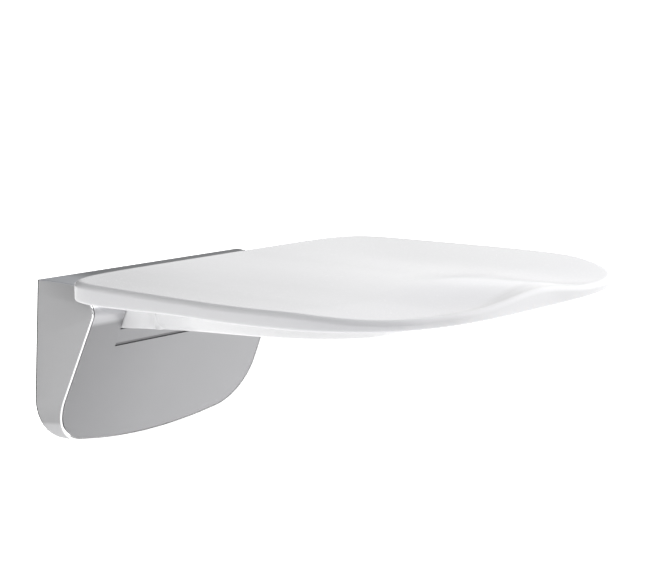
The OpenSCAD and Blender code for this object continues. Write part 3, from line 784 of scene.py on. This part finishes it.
def housing():
    """The bracket's cheeks, from the wall to the polished lip that frames the cover."""
    lip = lip_path(0)
    wall = wall_path(len(lip))
    inward = unit_rows(lip_path(LIP_W) - lip)
    out = unit_rows(np.cross(inward, unit_rows(np.gradient(lip, axis=0))))
    out *= np.sign(-out[:, 1:2] - out[:, 2:3] * 0.2)  # so that it points away from the wall
    foot = lip - out * LIP_OUT_R
    loops = [wall * (1 - t) + foot * t for t in np.linspace(0, 1, 12)]
    polished_from = len(loops) - 1
    for a in np.linspace(0, math.pi / 2, 7)[1:]:
        loops.append(lip + inward * LIP_OUT_R * (1 - math.cos(a)) - out * LIP_OUT_R * (1 - math.sin(a)))
    for a in np.linspace(0, math.pi / 2, 5):
        across = LIP_W - LIP_IN_R + LIP_IN_R * math.sin(a)
        loops.append(lip + inward * across - out * LIP_IN_R * (1 - math.cos(a)))
    back = lip + inward * LIP_W - out * LIP_DEPTH
    back[:, 1] = np.minimum(back[:, 1], -0.3)  # nothing reaches the wall
    loops.append(back)
    rows = [from_top(mirror_join(loop)) for loop in loops]
    cols = len(rows[0])
    verts = [tuple(p) for row in rows for p in row]
    obj = new_object("bracket_shell", verts, strip_faces(len(rows), cols))
    set_material(obj, SATIN_WITH_PAINTED_LIGHT, POLISHED, LIP_INSIDE)
    inside_from = len(rows) - 3
    for index, face in enumerate(obj.data.polygons):
        row = index // (cols - 1)
        face.material_index = 2 if row >= inside_from else 1 if row >= polished_from else 0
    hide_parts("bracket_housing")
    return obj


def housing_top():
    """The flat top plate with its notch for the folded hood."""
    front_half = lip_half(-TOP_FALL)
    ys = [WALL_Y, -6, -12, -20, -28, WINDOW_REAR, -40, -TOP_FRONT]
    verts = []
    for y in ys:
        t = -y / TOP_FRONT
        half = WALL_HALF + (front_half - WALL_HALF) * t
        verts += [(x, y, TOP - TOP_FALL * t ** 1.5) for x in (-half, -WINDOW_HALF, WINDOW_HALF, half)]
    faces = [(r * 4 + c, r * 4 + c + 4, r * 4 + c + 5, r * 4 + c + 1)
             for r in range(len(ys) - 1) for c in range(3) if c != 1 or ys[r] > WINDOW_REAR]
    obj = new_object("bracket_top_plate", verts, faces)
    thicken(obj, 2.0)
    round_edges(obj, 0.5, 2)
    set_material(obj, TOP_SATIN_PAINTED_SHADE)
    return obj


def front_panel():
    """The front cover: leaning face, and nose rolls with bevels on both sides of the hinge."""
    edge = from_top(lip_path(LIP_W + GAP, RECESS))
    slot_low = TOP + SLOT_H
    upper = [p for p in edge if p[2] > slot_low + 0.5]
    lower = [p for p in edge if p[2] < slot_low - 0.5]
    cut = (lip_half(SLOT_H) - LIP_W - GAP, face_y(SLOT_H, RECESS), slot_low)
    path = lower + [cut] + upper
    verts = []
    for x, y, z in path:
        inner = min(WINDOW_HALF, 0.98 * x)
        verts += [(-x, y, z), (-inner, y, z), (inner, y, z), (x, y, z)]
    faces = [(r * 4 + c, r * 4 + c + 1, r * 4 + c + 5, r * 4 + c + 4)
             for r in range(len(path) - 1) for c in range(3) if c != 1 or r < len(lower)]
    obj = new_object("front_panel", verts, faces)
    bm = bmesh.new()
    bm.from_mesh(obj.data)
    bmesh.ops.remove_doubles(bm, verts=bm.verts, dist=1e-5)
    bm.to_mesh(obj.data)
    bm.free()
    set_material(obj, COVER_PAINTED_LIGHT, GAP_PAINTED_SHADE)
    # the cover's cut edges get the painted shade of the gap
    thicken(obj, 2.2, rim_material=1)
    round_edges(obj, 0.2, 2, 50)
    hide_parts("front_cover")
    return obj


def trim_bar():
    """The bar between the hood and the slot, flush with the cover; its lower part is the slot's floor."""
    low = SLOT_H + SLOT_W
    high = NOSE_H - HOOD_R - 1
    section = [(face_y(h, RECESS), h + TOP) for h in (low, high)]
    section += [(face_y(h, RECESS + TRIM_DEPTH), h + TOP) for h in (high, SLOT_H - 0.3)]
    section += [(face_y(h, RECESS + 1.0), h + TOP) for h in (SLOT_H - 0.3, low)]
    obj = extrude_x("hinge_trim_bar", section, -WINDOW_HALF + TRIM_PLAY, WINDOW_HALF - TRIM_PLAY)
    set_material(obj, COVER_PAINTED_LIGHT, SLOT_SHADE)
    # the slot's floor gets the painted shade
    for face in obj.data.polygons:
        if face.center.z / MM < low + TOP + 0.5:
            face.material_index = 1
    round_edges(obj, 0.15, 2)
    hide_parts("hinge_trim")
    return obj


seat_upper()
seat_lower()
hinge_block()
for piece, slot in ((housing(), "satin_metal"), (housing_top(), "satin_metal"),
                    (front_panel(), "satin_cover"), (trim_bar(), "satin_trim")):
    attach(piece, "bracket")

NODE_MATERIALS = {
    "wall_plate": CASTING, "wall_gasket": RUBBER, "shaft_bushes": BEARING, "stop_pads": RUBBER,
    "seat_frame": POWDER, "thrust_washers": BEARING, "friction_washers": LINING}
for name, node in frame["nodes"].items():
    set_material(node, NODE_MATERIALS.get(name, STEEL))


# ---- stage, light and camera ----

FLOOR_Z = -0.42  # metres
FLOOR_GLOW = 0.55  # light of the floor on the object
FLOOR_SEEN = 1.2  # and as the camera sees it
SKY_SEEN = 1.1
PATCH_START, PATCH_FULL = 0.5, 0.95  # cosines from a patch's centre where it starts and is full
# Patches of light in the sky: direction, and strength
SKY_PATCHES = [
    ((0.0, 0.0, 1.0), 0.42),
    ((0.25, -0.55, 0.80), 0.50),
    ((0.78, -0.50, 0.34), 1.10),
    ((0.95, 0.0, 0.20), 1.45),
    ((-0.77, 0.50, 0.12), 0.72),
]


def floor():
    """A pale floor that reaches the horizon and glows evenly."""
    size = 400.0
    mesh = bpy.data.meshes.new("floor")
    corners = [(-size, -size), (size, -size), (size, size), (-size, size)]
    mesh.from_pydata([(x, y, FLOOR_Z) for x, y in corners], [], [(0, 1, 2, 3)])
    obj = bpy.data.objects.new("floor", mesh)
    bpy.context.scene.collection.objects.link(obj)
    mat, nodes, links, bsdf = node_material("pale_floor")
    cloud = add_noise(nodes, links, 2.0)
    shade = mix_colours(nodes, links, cloud.outputs["Fac"], (0.88, 0.88, 0.88), (0.90, 0.90, 0.90))
    links.new(shade, bsdf.inputs["Base Color"])
    links.new(shade, bsdf.inputs["Emission Color"])
    path = nodes.new("ShaderNodeLightPath")
    glow = ramp(nodes, links, path.outputs["Is Camera Ray"], FLOOR_GLOW, FLOOR_SEEN)
    links.new(glow, bsdf.inputs["Emission Strength"])
    bsdf.inputs["Roughness"].default_value = 0.9
    set_material(obj, mat)


def sky_glow(nodes, links, direction, strength):
    """Light from a round patch of the sky with a soft edge."""
    coords = nodes.new("ShaderNodeTexCoord")
    dot = nodes.new("ShaderNodeVectorMath")
    dot.operation = "DOT_PRODUCT"
    dot.inputs[1].default_value = Vector(direction).normalized()
    links.new(coords.outputs["Generated"], dot.inputs[0])
    patch = nodes.new("ShaderNodeMapRange")
    patch.interpolation_type = "SMOOTHSTEP"
    patch.inputs["From Min"].default_value = PATCH_START
    patch.inputs["From Max"].default_value = PATCH_FULL
    patch.inputs["To Max"].default_value = strength
    links.new(dot.outputs["Value"], patch.inputs["Value"])
    return patch.outputs["Result"]


def studio():
    """White behind the object; its light comes from soft patches in a dark sky."""
    world = bpy.data.worlds.new("studio")
    world.use_nodes = True
    nodes, links = world.node_tree.nodes, world.node_tree.links
    total = None
    for direction, strength in SKY_PATCHES:
        glow = sky_glow(nodes, links, direction, strength)
        if total is None:
            total = glow
            continue
        add = nodes.new("ShaderNodeMath")
        links.new(glow, add.inputs[0])
        links.new(total, add.inputs[1])
        total = add.outputs[0]
    path = nodes.new("ShaderNodeLightPath")
    mix = nodes.new("ShaderNodeMix")
    links.new(path.outputs["Is Camera Ray"], mix.inputs["Factor"])
    links.new(total, mix.inputs["A"])
    mix.inputs["B"].default_value = SKY_SEEN
    background = nodes["Background"]
    background.inputs["Color"].default_value = (1, 1, 1, 1)
    links.new(mix.outputs["Result"], background.inputs["Strength"])
    bpy.context.scene.world = world
    bpy.context.scene.view_settings.view_transform = "Standard"


def camera():
    """The view: from the front left of the seat, a little above it, through a long lens."""
    azimuth = math.radians(-51.223)
    elevation = math.radians(8.957)
    data = bpy.data.cameras.new("camera")
    data.lens = 101.55
    data.sensor_width = 36
    data.clip_start = 0.05
    data.clip_end = 900
    obj = bpy.data.objects.new("camera", data)
    obj.location = Vector((-1269.7, -1247.7, TOP + 251.8)) * MM
    obj.rotation_euler = (math.pi / 2 - elevation, 0, azimuth)
    bpy.context.scene.collection.objects.link(obj)
    bpy.context.scene.camera = obj


floor()
studio()
camera()
